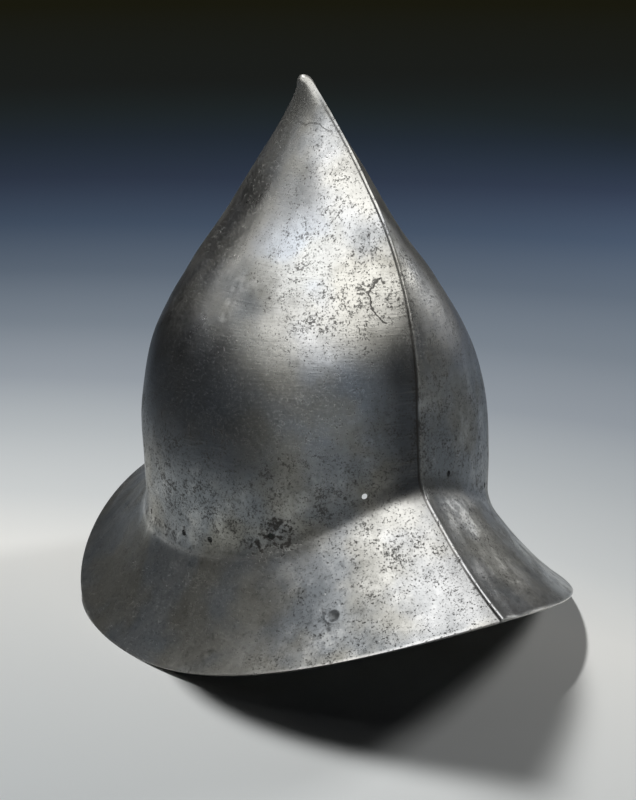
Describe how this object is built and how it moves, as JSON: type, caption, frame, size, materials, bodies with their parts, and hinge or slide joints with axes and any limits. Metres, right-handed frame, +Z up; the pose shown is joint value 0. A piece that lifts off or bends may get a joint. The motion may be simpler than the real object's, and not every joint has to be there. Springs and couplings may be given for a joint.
{
  "type": "morion helmet",
  "caption": "Open steel helmet with a tall pointed skull, a medial ridge, a small stalk at the top and a brim that droops at the sides and rises in front and behind.",
  "frame": {"origin": "on the floor the helmet rests on, under the middle of the brim's outline", "axes": "+Z up, -Y towards the front of the helmet, -X towards the wearer's right; the helmet is symmetric about the plane of Y and Z"},
  "size_m": [0.2816, 0.345, 0.306],
  "materials": {
    "steel": "old bare steel, once bright, with fine grinding lines, grey-brown patina and many small dark rust pits"
  },
  "bodies": {
    "root": {"skull_and_brim": "steel"}
  },
  "joints": []
}
